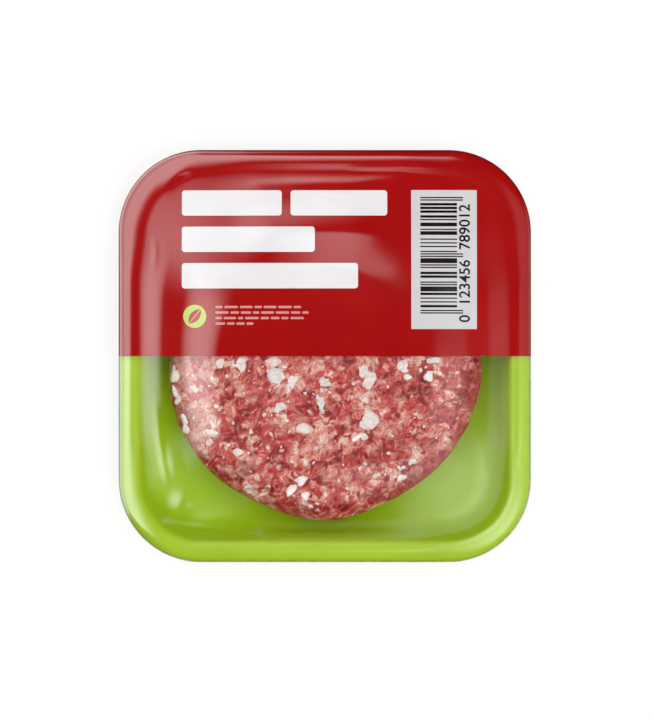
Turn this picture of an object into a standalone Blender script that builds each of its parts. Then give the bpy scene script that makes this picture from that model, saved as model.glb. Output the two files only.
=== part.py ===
"""A square tray pack of one raw minced cutlet, under a stretched film, for Blender 4.5.

The pack is three pieces: a moulded tray with a turned-down lip, the cutlet that lies in
it, and one sheet of film that is drawn over both, rolls round the lip and tucks under the
foot. The film's upper half is printed, and its lower half is clear.

Units are metres and +Z is up. The origin is the middle of the foot, on the table.
Run it with: blender --background --python part.py
"""

import math

import bmesh
import bpy
from mathutils import Vector, noise

MM = 0.001

# The pack's outline, seen from above: a square with round corners.
PACK_WIDTH = 150 * MM
CORNER_RADIUS = 30 * MM
LEAST_CORNER_RADIUS = 8 * MM
SIDE_STEPS = 7
CORNER_STEPS = 7

# Wall thicknesses, and the clearance that neighbouring solids keep.
FILM_THICKNESS = 0.4 * MM
TRAY_THICKNESS = 1.0 * MM
CLEARANCE = 0.3 * MM

# Heights above the table.
FILM_WIDEST_HEIGHT = 14.0 * MM
FILM_LIP_HEIGHT = 18.7 * MM
FILM_TOP_HEIGHT = 23.0 * MM
FILM_CROWN = 0.2 * MM
TRAY_LIP_HEIGHT = 17.8 * MM
TRAY_FLOOR_HEIGHT = FILM_THICKNESS + CLEARANCE + TRAY_THICKNESS

# Distances in from the pack's widest outline.
FILM_LIP_ROLL = 5.0 * MM
LIP_INNER_EDGE = 7.6 * MM
FILM_FOOT = 17.3 * MM
FILM_TUCK_END = 32.0 * MM

# The cutlet, a little nearer to the front edge than to the back one.
CUTLET_RADIUS = 56.2 * MM
CUTLET_CENTRE_Y = -2.5 * MM
CUTLET_BOTTOM = TRAY_FLOOR_HEIGHT + CLEARANCE
CUTLET_TOP = 21.6 * MM
CUTLET_UPPER_EDGE = 20.0 * MM
CUTLET_LOWER_EDGE = 9.0 * MM
CUTLET_SQUARENESS = 2.1
CUTLET_STEPS = 56
PLATEAU_RADIUS = 36.0 * MM

RED_PRINT = (0.402, 0.005, 0.005, 1.0)
LIME_PLASTIC = (0.305, 0.485, 0.017, 1.0)
RAW_MINCE = (0.48, 0.10, 0.09, 1.0)
CLEAR_PLASTIC = (0.9, 0.95, 0.9, 1.0)


def clear_scene():
    """Removes what is in the open file, such as the default cube."""
    for existing in list(bpy.data.objects):
        bpy.data.objects.remove(existing)


def make_material(name, colour, roughness, alpha=1.0):
    """A Principled material of one colour."""
    material = bpy.data.materials.new(name)
    material.use_nodes = True
    surface = material.node_tree.nodes["Principled BSDF"]
    surface.inputs["Base Color"].default_value = colour
    surface.inputs["Roughness"].default_value = roughness
    surface.inputs["Metallic"].default_value = 0.0
    surface.inputs["Alpha"].default_value = alpha
    return material


def smooth_step(share):
    """0 below 0, 1 above 1, and an S-shaped rise between them."""
    share = min(max(share, 0.0), 1.0)
    return share * share * (3 - 2 * share)


def ring_angles():
    """Directions round the pack, closer together at its corners than along its sides."""
    half = PACK_WIDTH / 2
    corner_start = math.atan2(half - CORNER_RADIUS, half)
    corner_span = math.pi / 2 - 2 * corner_start
    angles = []
    for side in range(4):
        middle = side * math.pi / 2
        for step in range(SIDE_STEPS):
            angles.append(middle - corner_start + 2 * corner_start * step / SIDE_STEPS)
        for step in range(CORNER_STEPS):
            angles.append(middle + corner_start + corner_span * step / CORNER_STEPS)
    return angles


def square_reach(angle, half_width, corner_radius):
    """The distance from the centre to the edge of a rounded square, in this direction."""
    along = max(abs(math.cos(angle)), abs(math.sin(angle)))
    across = min(abs(math.cos(angle)), abs(math.sin(angle)))
    corner = half_width - corner_radius
    if half_width / along * across <= corner:
        return half_width / along
    middle = corner * (along + across)
    return middle + math.sqrt(middle**2 - 2 * corner**2 + corner_radius**2)


def square_ring(inset, height):
    """A rounded square at this height, this far inside the pack's widest outline."""
    half_width = PACK_WIDTH / 2 - inset
    corner_radius = max(CORNER_RADIUS - inset, LEAST_CORNER_RADIUS)
    ring = []
    for angle in ring_angles():
        reach = square_reach(angle, half_width, corner_radius)
        ring.append(Vector((reach * math.cos(angle), reach * math.sin(angle), height)))
    return ring


def round_ring(radius, height):
    """A circle about the cutlet's middle, with a point for each direction of the pack."""
    return [
        Vector((radius * math.cos(a), CUTLET_CENTRE_Y + radius * math.sin(a), height))
        for a in ring_angles()
    ]


def lip_arc(inset, widest_height, width, rise, first_degrees, last_degrees, steps):
    """Rings along an elliptical roll. 0 degrees is its widest line and 90 its crown."""
    rings = []
    for step in range(steps + 1):
        turn = math.radians(first_degrees + (last_degrees - first_degrees) * step / steps)
        rings.append(
            square_ring(
                inset + width * (1 - math.cos(turn)),
                widest_height + rise * math.sin(turn),
            )
        )
    return rings


def corner_share(angle):
    """0 for a direction through the pack's sides, and 1 for one through its corners."""
    off_axis = abs(math.remainder(angle, math.pi / 2))
    return smooth_step((off_axis - math.radians(12)) / math.radians(18))


def film_rise(share, corner):
    """How far the film has climbed from the lip to the cutlet's top, from 0 to 1.

    Along the sides it climbs in two swells: one just inside the lip, and one over the
    cutlet's shoulder. At the corners it has further to go, and climbs in one.
    """
    swells = 0.34 * smooth_step(share / 0.27) + 0.66 * smooth_step((share - 0.40) / 0.60)
    return swells + corner * (smooth_step(share) - swells)


def loft(name, rings, thickness, materials):
    """A skin through the rings, closed over the last one, with a wall behind it."""
    mesh = bpy.data.meshes.new(name)
    skin = bmesh.new()
    loops = [[skin.verts.new(point) for point in ring] for ring in rings]
    for outer, inner in zip(loops, loops[1:]):
        for here in range(len(outer)):
            after = (here + 1) % len(outer)
            skin.faces.new((outer[here], outer[after], inner[after], inner[here]))
    cap = skin.faces.new(loops[-1])
    bmesh.ops.poke(skin, faces=[cap])
    skin.to_mesh(mesh)
    skin.free()
    mesh.shade_smooth()
    for material in materials:
        mesh.materials.append(material)
    piece = bpy.data.objects.new(name, mesh)
    wall = piece.modifiers.new("Wall", "SOLIDIFY")
    wall.thickness = thickness
    wall.offset = -1.0
    wall.use_even_offset = True
    return piece


def make_tray(material):
    """The moulded tray: skirt, rolled lip, flared wall and flat floor."""
    skirt = [square_ring(1.8 * MM, 13.0 * MM)]
    lip_rise = 2.9 * MM
    lip = lip_arc(1.0 * MM, TRAY_LIP_HEIGHT - lip_rise, FILM_LIP_ROLL, lip_rise, 0, 90, 5)
    wall = [
        square_ring(LIP_INNER_EDGE, TRAY_LIP_HEIGHT - 0.1 * MM),
        square_ring(8.6 * MM, 16.9 * MM),
        square_ring(9.6 * MM, 15.0 * MM),
        square_ring(15.5 * MM, 5.0 * MM),
        square_ring(17.6 * MM, 2.7 * MM),
    ]
    floor = [
        square_ring(20.8 * MM, TRAY_FLOOR_HEIGHT),
        square_ring(46.0 * MM, TRAY_FLOOR_HEIGHT),
    ]
    return loft("tray", skirt + lip + wall + floor, TRAY_THICKNESS, [material])


def make_film(clear, printed):
    """The film: tucked under the foot, up the side, round the lip and over the cutlet."""
    tuck = [
        square_ring(FILM_TUCK_END, 0.0),
        square_ring(FILM_FOOT, 0.0),
        square_ring(FILM_FOOT - 1.3 * MM, 1.2 * MM),
    ]
    lip_rise = FILM_LIP_HEIGHT - FILM_WIDEST_HEIGHT
    lip = lip_arc(0.0, FILM_WIDEST_HEIGHT, FILM_LIP_ROLL, lip_rise, -30, 0, 1)
    lip += lip_arc(0.0, FILM_WIDEST_HEIGHT, FILM_LIP_ROLL, lip_rise, 0, 90, 5)[1:]
    climb = []
    climb_steps = 9
    lip_ring = square_ring(LIP_INNER_EDGE, FILM_LIP_HEIGHT)
    plateau_ring = round_ring(PLATEAU_RADIUS, FILM_LIP_HEIGHT)
    for step in range(climb_steps + 1):
        share = step / climb_steps
        ring = []
        for angle, outer, inner in zip(ring_angles(), lip_ring, plateau_ring):
            point = outer.lerp(inner, share)
            climbed = film_rise(share, corner_share(angle))
            point.z += (FILM_TOP_HEIGHT - FILM_LIP_HEIGHT) * climbed
            ring.append(point)
        climb.append(ring)
    plateau = [round_ring(PLATEAU_RADIUS / 2, FILM_TOP_HEIGHT + FILM_CROWN)]
    film = loft("film", tuck + lip + climb + plateau, FILM_THICKNESS, [clear, printed])
    for face in film.data.polygons:
        face.material_index = 1 if face.center.y > 0 else 0
    return film


def edge_point(width, turn):
    """A point of the cutlet's edge, whose quarter curves are squarer than an ellipse.

    The edge is this wide, and turn runs from -90 degrees at its foot to 90 at its top.
    """
    middle_height = (CUTLET_BOTTOM + CUTLET_TOP) / 2
    half_height = (CUTLET_TOP - CUTLET_BOTTOM) / 2
    power = 2 / CUTLET_SQUARENESS
    out = max(math.cos(turn), 0.0) ** power
    up = math.copysign(abs(math.sin(turn)) ** power, turn)
    return CUTLET_RADIUS - width + width * out, middle_height + half_height * up


def cutlet_section():
    """The cutlet's half section, as radius and height, from under its middle to the top."""
    flat_steps = 3
    edge_steps = 6
    foot_radius = CUTLET_RADIUS - CUTLET_LOWER_EDGE
    top_radius = CUTLET_RADIUS - CUTLET_UPPER_EDGE
    section = [(foot_radius * step / 2, CUTLET_BOTTOM) for step in range(2)]
    for step in range(-edge_steps, edge_steps + 1):
        width = CUTLET_LOWER_EDGE if step < 0 else CUTLET_UPPER_EDGE
        section.append(edge_point(width, math.pi / 2 * step / edge_steps))
    for step in range(1, flat_steps + 1):
        section.append((top_radius * (1 - step / flat_steps), CUTLET_TOP))
    return section


def outline_unevenness(angle):
    """How far the pressed edge stands out or in at this direction, as a share."""
    return (
        0.011 * math.cos(2 * angle - 1.4)
        + 0.006 * math.cos(3 * angle + 1.3)
        + 0.011 * math.cos(5 * angle + 1.5)
        + 0.006 * math.cos(8 * angle + 0.25)
    )


def mince_relief(point):
    """The lumps of the mince, outward in metres, at this point of the cutlet."""
    crumb = noise.noise(point / (7.0 * MM)) * 0.45 * MM
    return crumb + noise.noise(point / (19.0 * MM)) * 0.35 * MM


def make_cutlet(material):
    """The cutlet: its section turned round, then made as uneven as pressed mince."""
    mesh = bpy.data.meshes.new("cutlet")
    body = bmesh.new()
    points = [body.verts.new((radius, 0, height)) for radius, height in cutlet_section()]
    edges = [body.edges.new(pair) for pair in zip(points, points[1:])]
    bmesh.ops.spin(
        body,
        geom=points + edges,
        cent=(0, 0, 0),
        axis=(0, 0, 1),
        angle=2 * math.pi,
        steps=CUTLET_STEPS,
        use_merge=True,
    )
    bmesh.ops.remove_doubles(body, verts=body.verts, dist=0.01 * MM)
    bmesh.ops.recalc_face_normals(body, faces=body.faces)
    half_height = (CUTLET_TOP - CUTLET_BOTTOM) / 2
    for vertex in body.verts:
        point = vertex.co.copy()
        edge_share = smooth_step((point.z - CUTLET_BOTTOM) / half_height)
        stretch = 1 + outline_unevenness(math.atan2(point.y, point.x))
        lump = mince_relief(point) * edge_share
        outward = Vector((point.x, point.y, 0)) / CUTLET_RADIUS
        vertex.co = Vector((point.x * stretch, point.y * stretch, point.z))
        vertex.co += lump * outward
        vertex.co.z += min(lump, 0.1 * MM) * (1 - outward.length_squared)
    body.to_mesh(mesh)
    body.free()
    mesh.shade_smooth()
    mesh.materials.append(material)
    cutlet = bpy.data.objects.new("cutlet", mesh)
    cutlet.location.y = CUTLET_CENTRE_Y
    return cutlet


def main():
    clear_scene()
    pack = bpy.data.collections.new("cutlet_tray_pack")
    bpy.context.scene.collection.children.link(pack)
    lime = make_material("lime_plastic", LIME_PLASTIC, 0.3)
    mince = make_material("raw_mince", RAW_MINCE, 0.45)
    clear = make_material("clear_film", CLEAR_PLASTIC, 0.1, alpha=0.2)
    printed = make_material("red_print", RED_PRINT, 0.15)
    for piece in (make_tray(lime), make_cutlet(mince), make_film(clear, printed)):
        pack.objects.link(piece)


main()
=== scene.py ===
# %% [markdown]
# # A tray pack of one raw minced cutlet
#
# The pack is a lime-green moulded tray, a round raw cutlet, and one sheet of stretched
# film. The film's upper half is printed red, and its lower half is clear. The solids that
# give the pack its size and weight are loaded first, as a frame. Every piece below is then
# made to lie in that frame, so nothing has to be scaled or moved to fit.

import math

import bmesh
import bpy
import numpy as np
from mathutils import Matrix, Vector
from mathutils.bvhtree import BVHTree


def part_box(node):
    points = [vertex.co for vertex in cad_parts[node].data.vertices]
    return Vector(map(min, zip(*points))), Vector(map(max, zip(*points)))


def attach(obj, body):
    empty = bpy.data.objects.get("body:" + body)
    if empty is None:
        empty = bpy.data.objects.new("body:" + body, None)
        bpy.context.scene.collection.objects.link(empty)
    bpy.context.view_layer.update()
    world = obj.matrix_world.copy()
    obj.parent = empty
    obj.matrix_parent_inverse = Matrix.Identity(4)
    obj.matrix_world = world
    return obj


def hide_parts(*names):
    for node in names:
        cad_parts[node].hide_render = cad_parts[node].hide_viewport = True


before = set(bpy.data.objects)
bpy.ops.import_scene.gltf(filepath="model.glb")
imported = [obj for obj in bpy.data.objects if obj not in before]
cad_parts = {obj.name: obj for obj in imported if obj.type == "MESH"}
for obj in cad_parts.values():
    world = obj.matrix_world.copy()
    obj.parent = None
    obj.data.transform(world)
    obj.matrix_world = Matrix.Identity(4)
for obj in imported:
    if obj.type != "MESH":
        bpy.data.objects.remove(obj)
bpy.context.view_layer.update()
MM = 0.001
film_low, film_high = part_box("film")
cutlet_low, cutlet_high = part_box("cutlet")
print("the pack is", [round((b - a) / MM, 1) for a, b in zip(film_low, film_high)], "mm")

# %% [markdown]
# ## Measures
#
# A few numbers drive every shape. The width of the pack and the place of the cutlet are read
# from the frame. The rest are the ones a packer would know: how round the corners are, how
# high the tray's lip stands, and how far in from the edge each bend of the film runs.
# Distances "in" are insets: how far a line lies inside the pack's widest outline.

# %% Measures of the pack
PACK_HALF = film_high[0]
CORNER_RADIUS = 30 * MM
LEAST_CORNER_RADIUS = 8 * MM
FILM_THICKNESS = 0.1 * MM
WIDEST_HEIGHT = 14.0 * MM
LIP_HEIGHT = 18.7 * MM
TOP_HEIGHT = 23.0 * MM
PLATEAU_RADIUS = 36.0 * MM
CUTLET_CENTRE_Y = (cutlet_low[1] + cutlet_high[1]) / 2
print("the cutlet's middle is", round(CUTLET_CENTRE_Y / MM, 1), "mm from the pack's")

# %% [markdown]
# ## The camera
#
# The pack is seen from straight above. A long lens from far away keeps the sides of the tray
# parallel, as a catalogue picture does. The distance is chosen, and the lens follows from
# the width that the picture takes in, so the framing is one number that is easy to change.

# %% Camera
CAMERA_DISTANCE = 1.4
PICTURE_WIDTH = 238 * MM
CAMERA_X = 0.8 * MM
CAMERA_Y = -1.4 * MM

camera_data = bpy.data.cameras.new("overhead_camera")
camera_data.sensor_fit = "HORIZONTAL"
camera_data.lens = camera_data.sensor_width * CAMERA_DISTANCE / PICTURE_WIDTH
camera = bpy.data.objects.new("overhead_camera", camera_data)
camera.location = (CAMERA_X, CAMERA_Y, CAMERA_DISTANCE + WIDEST_HEIGHT)
bpy.context.scene.collection.objects.link(camera)
bpy.context.scene.camera = camera
bpy.context.scene.view_settings.view_transform = "Standard"
print("lens", round(camera_data.lens), "mm")

# %% [markdown]
# ## Light
#
# Glossy film shows its lamps. Where the film slopes to one side it mirrors what stands on
# that side, and where it is level it mirrors what is straight above. So the bands of light
# on the pack are drawn by boxes that only reflections can see: a strong one on the left, a
# weaker one on the right and one at the near right corner. Two stand lower, for the rolled
# edge, which mirrors what is level with it, and a small one high up gives the glow in the
# middle of the print. Two more lamps do the opposite. They light the colours, and no
# reflection shows them. The sky is dark overhead, so the level film stays clean and the
# print keeps its deep colour.

# %% Soft boxes and sky
def soft_box(name, azimuth, elevation, distance, width, height, power, fades):
    """A rectangular lamp at this bearing and height, facing the pack, with faded edges."""
    lamp_data = bpy.data.lights.new(name, "AREA")
    lamp_data.shape = "RECTANGLE"
    lamp_data.size = width
    lamp_data.size_y = height
    lamp_data.energy = power
    lamp_data.use_nodes = True
    tree = lamp_data.node_tree
    place = tree.nodes.new("ShaderNodeNewGeometry").outputs["Parametric"]
    split = tree.nodes.new("ShaderNodeSeparateXYZ")
    tree.links.new(place, split.inputs[0])
    strength = None
    for axis, fade in enumerate(fades):
        # The distance to the nearer edge, from 0 at the edge to 0.5 in the middle.
        edge = tree.nodes.new("ShaderNodeMath")
        edge.operation = "PINGPONG"
        edge.inputs[1].default_value = 0.5
        tree.links.new(split.outputs[axis], edge.inputs[0])
        ramp = tree.nodes.new("ShaderNodeMapRange")
        ramp.interpolation_type = "SMOOTHSTEP"
        ramp.inputs["From Max"].default_value = max(fade, 0.001)
        tree.links.new(edge.outputs[0], ramp.inputs["Value"])
        if strength is None:
            strength = ramp.outputs["Result"]
        else:
            both = tree.nodes.new("ShaderNodeMath")
            both.operation = "MULTIPLY"
            tree.links.new(strength, both.inputs[0])
            tree.links.new(ramp.outputs["Result"], both.inputs[1])
            strength = both.outputs[0]
    tree.links.new(strength, tree.nodes["Emission"].inputs["Strength"])
    lamp = bpy.data.objects.new(name, lamp_data)
    turn, rise = math.radians(azimuth), math.radians(elevation)
    lamp.location = distance * Vector(
        (math.cos(turn) * math.cos(rise), math.sin(turn) * math.cos(rise), math.sin(rise))
    )
    lamp.rotation_euler = lamp.location.to_track_quat("Z", "Y").to_euler()
    bpy.context.scene.collection.objects.link(lamp)
    return lamp


key_box = soft_box("key_box", 153, 43, 0.6, 1.85, 0.95, 15.5, (0.10, 0.35))
key_low = soft_box("key_low", 151, -12, 0.6, 2.1, 0.9, 15.5, (0.14, 0.5))
right_box = soft_box("right_box", 350, 40, 0.7, 1.25, 1.0, 1.3, (0.25, 0.35))
corner_box = soft_box("corner_box", 317, 48, 0.7, 0.68, 0.95, 2.9, (0.4, 0.35))
right_low = soft_box("right_low", 352, -12, 0.7, 1.0, 1.0, 1.2, (0.25, 0.5))
top_glow = soft_box("top_glow", 82, 80.0, 0.5, 0.12, 0.09, 0.065, (0.5, 0.5))
for box in (key_box, key_low, right_box, right_low, corner_box, top_glow):
    box.visible_diffuse = False
key_soft = soft_box("key_soft", 132, 55, 0.8, 1.8, 1.2, 8.8, (0.0, 0.0))
fill_box = soft_box("fill_box", 322, 53, 1.0, 1.6, 1.3, 14.4, (0.0, 0.0))
key_soft.visible_glossy = False
fill_box.visible_glossy = False

sky = bpy.data.worlds.new("pale_sky")
bpy.context.scene.world = sky
sky.use_nodes = True
tree = sky.node_tree
direction = tree.nodes.new("ShaderNodeTexCoord").outputs["Generated"]
upward = tree.nodes.new("ShaderNodeSeparateXYZ")
tree.links.new(direction, upward.inputs[0])
fade_up = tree.nodes.new("ShaderNodeMapRange")
fade_up.interpolation_type = "SMOOTHSTEP"
fade_up.inputs["From Min"].default_value = 0.45
fade_up.inputs["From Max"].default_value = 0.85
fade_up.inputs["To Min"].default_value = 0.75
fade_up.inputs["To Max"].default_value = 0.02
tree.links.new(upward.outputs["Z"], fade_up.inputs["Value"])
horizon = tree.nodes.new("ShaderNodeMapRange")
horizon.inputs["From Min"].default_value = -0.02
horizon.inputs["From Max"].default_value = 0.06
horizon.inputs["To Min"].default_value = 0.12
tree.links.new(upward.outputs["Z"], horizon.inputs["Value"])
above = tree.nodes.new("ShaderNodeMath")
above.operation = "MULTIPLY"
tree.links.new(fade_up.outputs["Result"], above.inputs[0])
tree.links.new(horizon.outputs["Result"], above.inputs[1])
tree.links.new(above.outputs[0], tree.nodes["Background"].inputs["Strength"])

# %% [markdown]
# ## Small helpers
#
# Most pieces here are skins: a grid of points that a formula bends into shape. One helper
# turns a grid of points into a mesh object, and one gives a smooth random field, which is
# what makes meat, film and plastic uneven in a way that can be repeated.

# %% Helpers for meshes and noise
def mesh_object(name, points, faces):
    """A smooth-shaded mesh object from arrays of points and of faces."""
    mesh = bpy.data.meshes.new(name)
    mesh.from_pydata([tuple(p) for p in points], [], [tuple(f) for f in faces])
    mesh.shade_smooth()
    piece = bpy.data.objects.new(name, mesh)
    bpy.context.scene.collection.objects.link(piece)
    return piece


def settle(piece):
    """Make what the modifiers give the mesh itself, with its sharp edges kept sharp."""
    evaluated = piece.evaluated_get(bpy.context.evaluated_depsgraph_get())
    mesh = bpy.data.meshes.new_from_object(evaluated)
    mesh.name = piece.name
    piece.modifiers.clear()
    piece.data = mesh
    mesh.set_sharp_from_angle(angle=math.radians(50))


def ring_faces(rings, around):
    """Faces between neighbouring rings that each have this many points."""
    lower = np.arange(rings - 1)[:, None] * around
    here = np.arange(around)[None, :]
    after = (here + 1) % around
    quads = np.stack(
        [lower + here, lower + after, lower + around + after, lower + around + here], axis=-1
    )
    return quads.reshape(-1, 4)


def smooth_step(share):
    """0 below 0, 1 above 1, and an S-shaped rise between them."""
    share = np.clip(share, 0.0, 1.0)
    return share * share * (3 - 2 * share)


def soft_noise(x, y, size, seed):
    """Smooth hills and hollows of about this size, from -1 to 1."""
    hills = np.random.default_rng(seed).uniform(-1, 1, (256, 256))
    u, v = x / size, y / size
    column, row = np.floor(u).astype(int), np.floor(v).astype(int)
    across, up = smooth_step(u - column), smooth_step(v - row)
    near = hills[column % 256, row % 256] * (1 - across)
    near += hills[(column + 1) % 256, row % 256] * across
    far = hills[column % 256, (row + 1) % 256] * (1 - across)
    far += hills[(column + 1) % 256, (row + 1) % 256] * across
    return near * (1 - up) + far * up


# %% [markdown]
# ## The rounded square
#
# Tray and film share one outline, a square with round corners, taken at different insets and
# heights. Instead of drawing it again for each, the outline is a rule: in a given direction
# from the middle, how far is the edge? With that, any ring of the tray or the film is one
# line of code, and all rings have their points in the same directions, so they join cleanly.

# %% Directions and rings
SIDE_STEPS = 64
CORNER_STEPS = 56


def ring_directions():
    """Directions round the pack, closer together at the corners than along the sides."""
    corner_start = math.atan2(PACK_HALF - CORNER_RADIUS, PACK_HALF)
    corner_span = math.pi / 2 - 2 * corner_start
    side = np.linspace(-corner_start, corner_start, SIDE_STEPS, endpoint=False)
    corner = corner_start + np.linspace(0, corner_span, CORNER_STEPS, endpoint=False)
    quarter = np.concatenate([side, corner])
    return np.concatenate([quarter + k * math.pi / 2 for k in range(4)])


def square_reach(angle, half_width, corner_radius):
    """How far the edge of a rounded square is from its middle, in this direction."""
    along = np.maximum(abs(np.cos(angle)), abs(np.sin(angle)))
    across = np.minimum(abs(np.cos(angle)), abs(np.sin(angle)))
    corner = half_width - corner_radius
    middle = corner * (along + across)
    bend = np.maximum(middle**2 - 2 * corner**2 + corner_radius**2, 0)
    straight = half_width / along
    return np.where(straight * across <= corner, straight, middle + np.sqrt(bend))


def square_ring(inset, height):
    """Points of the outline at this inset and height. Both may differ by direction."""
    inset = inset + np.zeros(len(DIRECTIONS))
    corner_radius = np.maximum(CORNER_RADIUS - inset, LEAST_CORNER_RADIUS)
    reach = square_reach(DIRECTIONS, PACK_HALF - inset, corner_radius)
    x, y = reach * np.cos(DIRECTIONS), reach * np.sin(DIRECTIONS)
    return np.stack([x, y, height + np.zeros(len(DIRECTIONS))], axis=1)


DIRECTIONS = ring_directions()
off_axis = abs((DIRECTIONS + math.pi / 4) % (math.pi / 2) - math.pi / 4)
CORNER_SHARE = smooth_step((off_axis - math.radians(20)) / math.radians(20))
print(len(DIRECTIONS), "points in each ring")

# %% [markdown]
# ## The tray
#
# A meat tray is pressed from one warm sheet of plastic: a flat floor, a wall that leans out,
# a broad lip, and a short skirt that turns down and stiffens the edge. It could be cut from a
# block, but the real one has the same thickness everywhere, so it is made as a single skin
# of rings, and a Solidify modifier gives it its wall.

# %% Tray
TRAY_THICKNESS = 0.6 * MM
TRAY_FLOOR_HEIGHT = 1.7 * MM


def arc(centre, radii, first_degrees, last_degrees, steps):
    """Points (inset, height) along part of an ellipse about a centre."""
    turns = np.radians(np.linspace(first_degrees, last_degrees, steps))
    return [
        (centre[0] + radii[0] * math.cos(t), centre[1] + radii[1] * math.sin(t))
        for t in turns
    ]


tray_section = [(0.7 * MM, 12.6 * MM)]
tray_section += arc((5.0 * MM, 13.5 * MM), (4.75 * MM, 4.2 * MM), 180, 92, 14)
tray_section += arc((5.0 * MM, 13.1 * MM), (4.1 * MM, 4.6 * MM), 88, 28, 12)
tray_section += arc((24.0 * MM, 13.2 * MM), (14.0 * MM, 11.5 * MM), 205, 270, 18)
tray_section += [(26.0 * MM, TRAY_FLOOR_HEIGHT), (44.0 * MM, TRAY_FLOOR_HEIGHT)]
tray_rings = [square_ring(inset, height) for inset, height in tray_section]
tray_points = np.concatenate(tray_rings + [[[0, 0, TRAY_FLOOR_HEIGHT]]])
tray_faces = [tuple(f) for f in ring_faces(len(tray_rings), len(DIRECTIONS))]
last_ring = (len(tray_rings) - 1) * len(DIRECTIONS)
for here in range(len(DIRECTIONS)):
    after = (here + 1) % len(DIRECTIONS)
    tray_faces.append((last_ring + here, last_ring + after, len(tray_points) - 1))
tray = mesh_object("tray_shell", tray_points, tray_faces)
tray_wall = tray.modifiers.new("Wall", "SOLIDIFY")
tray_wall.thickness = TRAY_THICKNESS
tray_wall.offset = -1
settle(tray)
print("tray:", len(tray_points), "points before its wall")

# %% [markdown]
# ## Lime plastic
#
# The plastic is coloured all the way through, with a soft satin gloss. Two things keep it
# from looking like paint: its green drifts a little from place to place, and its surface has
# the very fine unevenness of a pressed sheet, which a small bump gives. Low in the tray the
# green is painted deeper and greener, as painted shade in the hollow, so the colour also
# follows the height.

# %% Material helpers and the lime plastic
def new_material(name):
    """An empty node material, with its tree and its Principled shader."""
    material = bpy.data.materials.new(name)
    material.use_nodes = True
    tree = material.node_tree
    return material, tree, tree.nodes["Principled BSDF"]


def add_node(tree, kind, settings=None, **inputs):
    """A node of this kind, with properties from settings and sockets from inputs."""
    node = tree.nodes.new("ShaderNode" + kind)
    for name, value in (settings or {}).items():
        setattr(node, name, value)
    for name, value in inputs.items():
        socket = node.inputs[name.replace("_", " ")]
        if isinstance(value, bpy.types.NodeSocket):
            tree.links.new(value, socket)
        else:
            socket.default_value = value
    return node


def linear(red, green, blue):
    """A colour picked as 0 to 255 on a screen, as the light values a shader wants."""
    values = [v / 255 for v in (red, green, blue)]
    return tuple(v / 12.92 if v < 0.04045 else ((v + 0.055) / 1.055) ** 2.4 for v in values)


def uneven_colour(tree, first, second, scale):
    """A colour that drifts between two, over patches of this scale."""
    place = add_node(tree, "TexCoord").outputs["Object"]
    patches = add_node(tree, "TexNoise", Vector=place, Scale=scale, Detail=3.0)
    ramp = add_node(tree, "ValToRGB", Fac=patches.outputs["Fac"])
    ramp.color_ramp.elements[0].position = 0.35
    ramp.color_ramp.elements[1].position = 0.65
    ramp.color_ramp.elements[0].color = (*first, 1)
    ramp.color_ramp.elements[1].color = (*second, 1)
    return ramp.outputs["Color"]


def fine_bump(tree, scale, height, strength):
    """A normal that trembles at this scale, for the fine unevenness of a surface."""
    place = add_node(tree, "TexCoord").outputs["Object"]
    grain = add_node(tree, "TexNoise", Vector=place, Scale=scale, Detail=2.0)
    bump = add_node(
        tree, "Bump", Height=grain.outputs["Fac"], Distance=height, Strength=strength
    )
    return bump.outputs["Normal"]


lime_plastic, tree, surface = new_material("lime_plastic")
lime = uneven_colour(tree, linear(166, 198, 37), linear(172, 204, 45), 40.0)
place = add_node(tree, "TexCoord").outputs["Object"]
height = add_node(tree, "SeparateXYZ", Vector=place).outputs["Z"]
# Painted shade: low in the tray the green is mixed deeper and greener, as its shaded hollows look.
depth = add_node(tree, "MapRange", {"interpolation_type": "SMOOTHSTEP"}, Value=height)
depth.inputs["From Min"].default_value = 15.5 * MM
depth.inputs["From Max"].default_value = 5.0 * MM
shaded_deep_green = add_node(tree, "Mix", {"data_type": "RGBA"})
tree.links.new(depth.outputs["Result"], shaded_deep_green.inputs["Factor"])
tree.links.new(lime, shaded_deep_green.inputs["A"])
shaded_deep_green.inputs["B"].default_value = (*linear(160, 197, 25), 1)
tree.links.new(shaded_deep_green.outputs["Result"], surface.inputs["Base Color"])
tree.links.new(fine_bump(tree, 900.0, 0.02 * MM, 0.3), surface.inputs["Normal"])
surface.inputs["Roughness"].default_value = 0.26
tray.data.materials.append(lime_plastic)
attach(tray, "root")
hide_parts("tray")

# %% [markdown]
# ## The cutlet's form
#
# A pressed cutlet is a thick disc with a flat top, a wide round shoulder and a narrow foot.
# Its surface could be a sphere pushed flat, but then the fine grid that the mince needs
# would bunch up at the middle. Instead a square grid is laid over the cutlet like a cloth:
# the distance from the middle of the cloth is measured along the surface, over the shoulder
# and down to the foot, so every square stays about the same size. The half that the print
# hides gets wider rows.

# %% Section and outline of the cutlet
CUTLET_RADIUS = 56.2 * MM
CUTLET_BOTTOM = 2.0 * MM
CUTLET_TOP = 21.95 * MM
CUTLET_UPPER_EDGE = 20.0 * MM
CUTLET_LOWER_EDGE = 9.0 * MM
CUTLET_SQUARENESS = 2.1


def cutlet_section():
    """Radius and height along the cutlet's half section, from the top's middle to its foot."""
    middle = (CUTLET_TOP + CUTLET_BOTTOM) / 2
    half = (CUTLET_TOP - CUTLET_BOTTOM) / 2
    turn = np.linspace(math.pi / 2, -math.pi / 2, 400)
    width = np.where(turn > 0, CUTLET_UPPER_EDGE, CUTLET_LOWER_EDGE)
    power = 2 / CUTLET_SQUARENESS
    radius = CUTLET_RADIUS - width + width * np.maximum(np.cos(turn), 0) ** power
    height = middle + half * np.sign(np.sin(turn)) * abs(np.sin(turn)) ** power
    return np.append(0, radius), np.append(CUTLET_TOP, height)


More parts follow.
